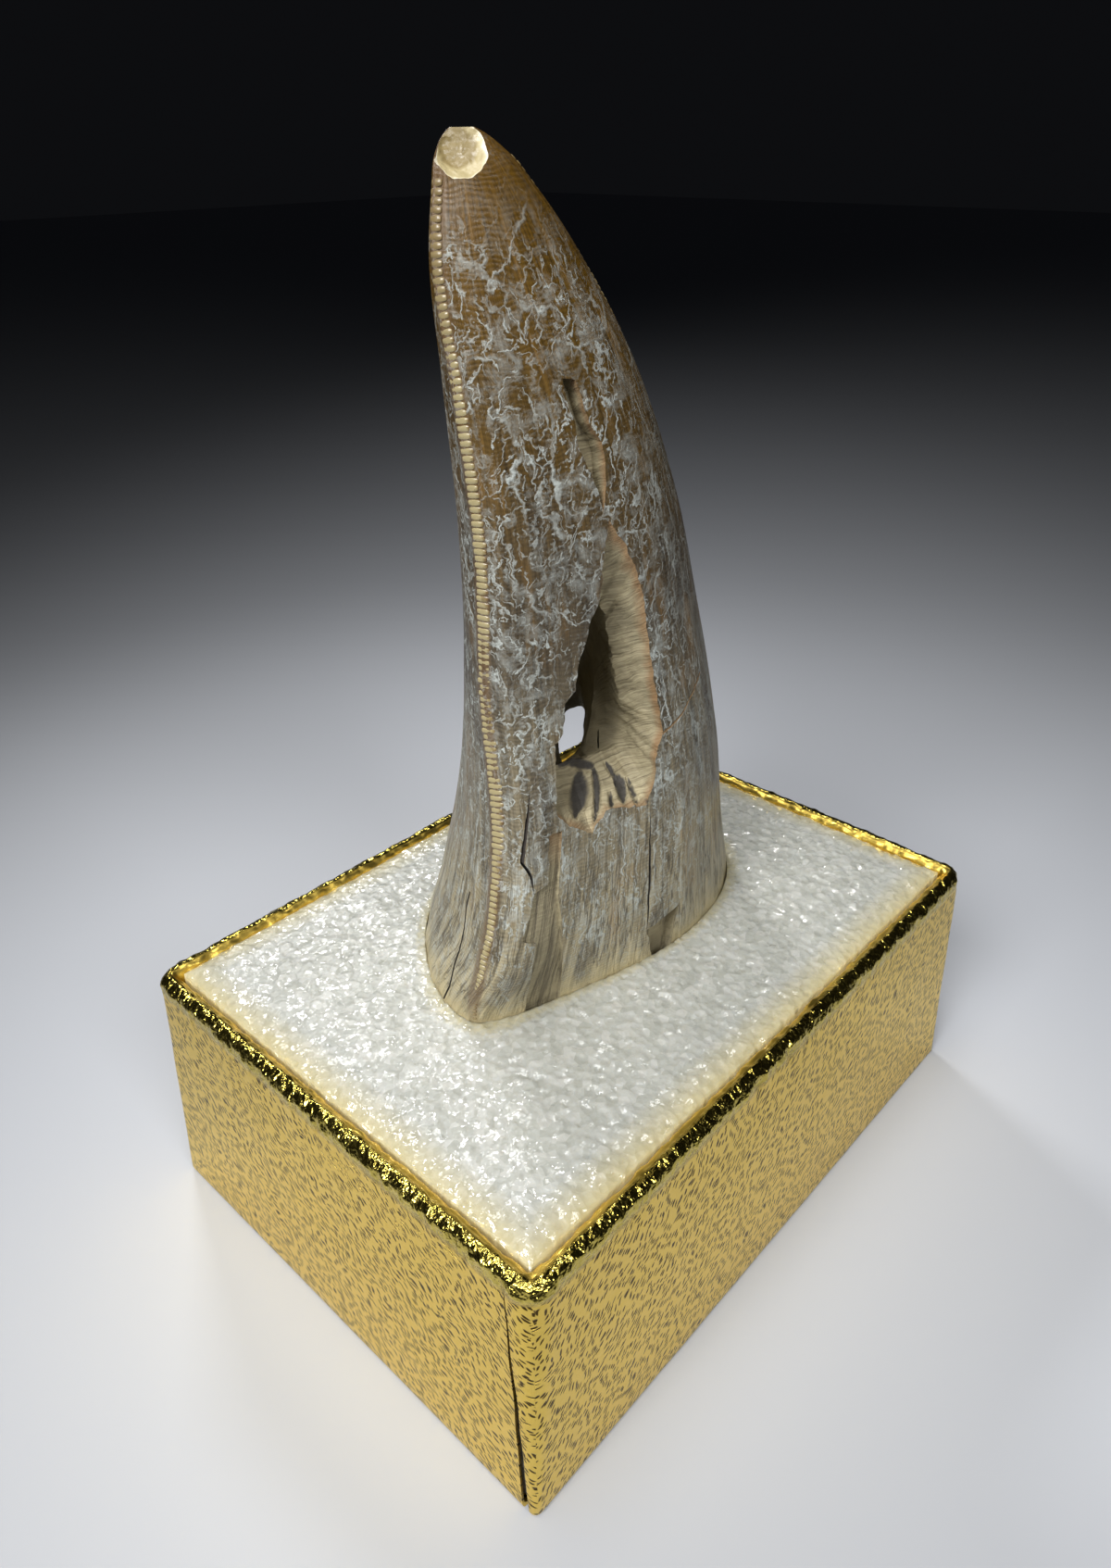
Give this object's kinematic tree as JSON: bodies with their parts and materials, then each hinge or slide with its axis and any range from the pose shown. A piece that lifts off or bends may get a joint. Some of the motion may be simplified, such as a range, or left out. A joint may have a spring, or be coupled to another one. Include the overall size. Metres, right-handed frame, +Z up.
{
  "type": "fossil dinosaur tooth in a display box",
  "caption": "Serrated fossil carnivore tooth with a broken-open side, standing upright in a foam pad that fills the base of a small foil-covered card box.",
  "frame": {"origin": "centre of the box's underside, on the plane that it stands on", "axes": "+Z up through the tooth, +X along the long side of the box towards the crown's front edge, +Y along the short side, away from the broken face of the tooth"},
  "size_m": [0.0678, 0.05, 0.093],
  "materials": {
    "tooth": null,
    "foam": "off-white closed-cell polyethylene foam, glistening cells, translucent",
    "card": null,
    "foil": "embossed gold metallised paper, bright satin"
  },
  "bodies": {
    "root": {"tooth": "tooth", "foam_pad": "foam", "card_tray": "card", "foil_wrap": "foil"}
  },
  "joints": []
}
